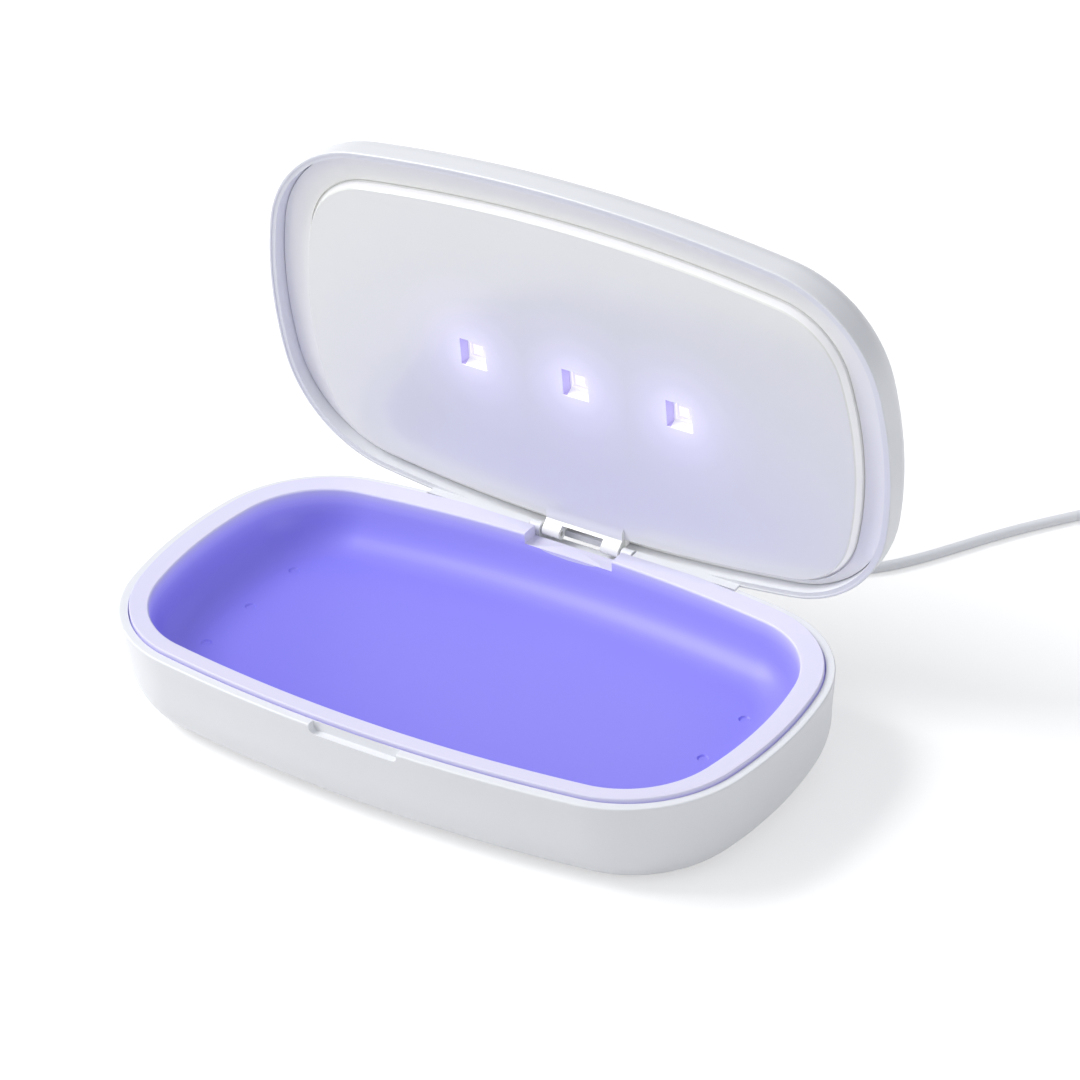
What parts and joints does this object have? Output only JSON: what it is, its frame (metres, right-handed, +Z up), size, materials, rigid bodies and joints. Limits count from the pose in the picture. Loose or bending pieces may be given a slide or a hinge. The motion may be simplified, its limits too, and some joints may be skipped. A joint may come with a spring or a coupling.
{
  "type": "uv sanitizer box for phones",
  "caption": "Oblong ultraviolet sanitizer box with a hinged lid, a glowing tub, lamp wells in the lid, a start button on its top and a thin power cable.",
  "frame": {"origin": "on the resting plane under the feet, below the middle of the box's outline with its lid open", "axes": "+X along the long side, +Y to the hinge side, +Z up"},
  "size_m": [0.3014, 0.294, 0.1571],
  "materials": {
    "shell": "smooth satin white",
    "tray": "glossy white, lit violet",
    "rubber": "matt grey",
    "steel": "plated",
    "board": "solder mask",
    "chips": "matt black",
    "liner": "glossy white",
    "lamp_board": "white solder mask",
    "lamp_body": "glazed",
    "lamp_window": "clear quartz",
    "button": "fine matt",
    "light_ring": "frosted clear",
    "cable": "soft matt",
    "tie": "matt"
  },
  "bodies": {
    "base": {"base_shell": "shell", "tray": "tray", "feet": "rubber", "base_screws": "steel", "main_board": "board", "board_parts": "chips", "board_screws": "steel", "usb_socket": "steel", "hinge_pins": "steel", "plug_tongue": "steel", "plug_body": "cable", "cable": "cable", "cable_coil": "cable", "cable_tail": "cable", "cable_tie": "tie", "charger_body": "cable", "charger_shell": "steel"},
    "lid": {"lid_shell": "shell", "lid_liner": "liner", "lamp_board": "lamp_board", "lamp_bodies": "lamp_body", "lamp_windows": "lamp_window", "lamp_screws": "steel", "lamp_socket": "lamp_board", "switch_board": "board", "switch_screws": "steel", "tact_switch": "chips", "light_ring": "light_ring"},
    "button": {"start_button": "button"}
  },
  "joints": [
    {"name": "lid_hinge", "type": "hinge", "parent": "base", "child": "lid", "pos_m": [0, 0.05346, 0.0322], "axis": [1, 0, 0], "range_deg": [0, 88.5]},
    {"name": "button_press", "type": "slide", "parent": "lid", "child": "button", "axis": [0, -0.9997, -0.0262], "range_m": [0, 0.0005], "stiffness_N_per_m": 300, "springref_m": -0.002}
  ]
}
